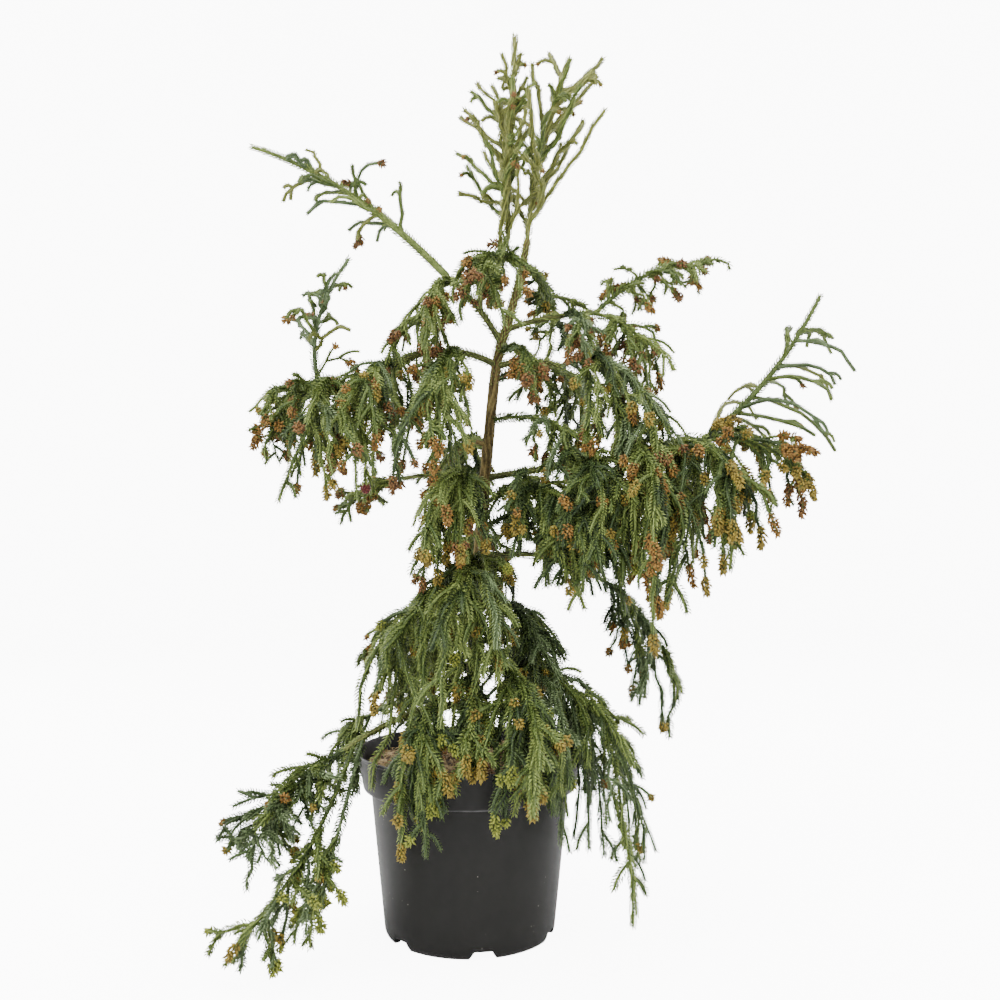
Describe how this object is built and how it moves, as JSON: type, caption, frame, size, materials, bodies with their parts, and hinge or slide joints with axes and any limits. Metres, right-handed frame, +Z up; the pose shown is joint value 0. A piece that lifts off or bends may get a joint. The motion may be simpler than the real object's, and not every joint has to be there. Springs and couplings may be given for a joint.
{
  "type": "potted cryptomeria",
  "caption": "Young weeping cryptomeria, a conifer with whip-like leaders, curtains of hanging needle twigs and clusters of small cones, growing in a round tapered nursery pot.",
  "frame": {"origin": "centre of the pot's flat underside, on the pot's axis", "axes": "+Z up along the pot's axis, -Y towards the open face of the crown, +X to the right as seen from that side"},
  "size_m": [0.6125, 0.3353, 0.8919],
  "materials": {
    "pot": "charcoal black moulded plastic, satin, faintly dusty",
    "soil": "dark peat and bark compost with a mulch of bark chips and dry needles, rough",
    "bark": "young red-brown bark, finely furrowed, turning green-brown higher up",
    "fresh_shoots": "fresh yellow-green shoots with short close needles",
    "leaf_ropes": "mid green rope-like twigs of oblique needles",
    "deep_needles": "deep green weeping twigs with curved needles"
  },
  "bodies": {
    "root": {"pot": "pot", "soil": "soil", "trunk": "bark", "left_limb": "bark", "left_leader": "bark", "upper_right_bough": "bark", "middle_right_bough": "bark", "middle_left_bough": "bark", "outer_left_bough": "bark", "low_left_twig_bough": "bark", "lower_right_bough": "bark", "lowest_right_bough": "bark", "lowest_left_bough": "bark", "crown_right": "fresh_shoots", "crown_middle": "fresh_shoots", "crown_left": "fresh_shoots", "left_whip": "fresh_shoots", "left_upright": "fresh_shoots", "right_whip": "fresh_shoots", "upper_left": "leaf_ropes", "upper_front": "deep_needles", "upper_back": "deep_needles", "upper_right": "leaf_ropes", "upper_right_fall": "leaf_ropes", "upper_right_inner": "leaf_ropes", "fork_cones": "leaf_ropes", "middle_right": "deep_needles", "middle_right_back": "deep_needles", "middle_right_inner": "leaf_ropes", "middle_left_inner": "deep_needles", "middle_left": "deep_needles", "left_inner_fall": "leaf_ropes", "middle_left_back": "deep_needles", "outer_left": "leaf_ropes", "left_column": "deep_needles", "low_left_twigs": "leaf_ropes", "outer_right": "leaf_ropes", "right_fall_inner": "deep_needles", "right_fall_outer": "deep_needles", "right_fall_back": "deep_needles", "centre_right": "deep_needles", "centre_right_upper": "deep_needles", "centre_right_back": "deep_needles", "right_strands": "leaf_ropes", "centre_front": "deep_needles", "centre_right_low": "leaf_ropes", "lower_left": "deep_needles", "lower_left_back": "deep_needles", "back_middle": "deep_needles", "back_upper": "deep_needles", "low_front_left": "deep_needles", "low_front": "deep_needles", "low_front_right": "deep_needles", "low_right": "leaf_ropes", "low_left_fan": "leaf_ropes", "low_left_fall": "leaf_ropes", "low_left_inner": "leaf_ropes", "rim_left_strands": "leaf_ropes", "low_back_left": "deep_needles", "low_back_right": "deep_needles"}
  },
  "joints": []
}
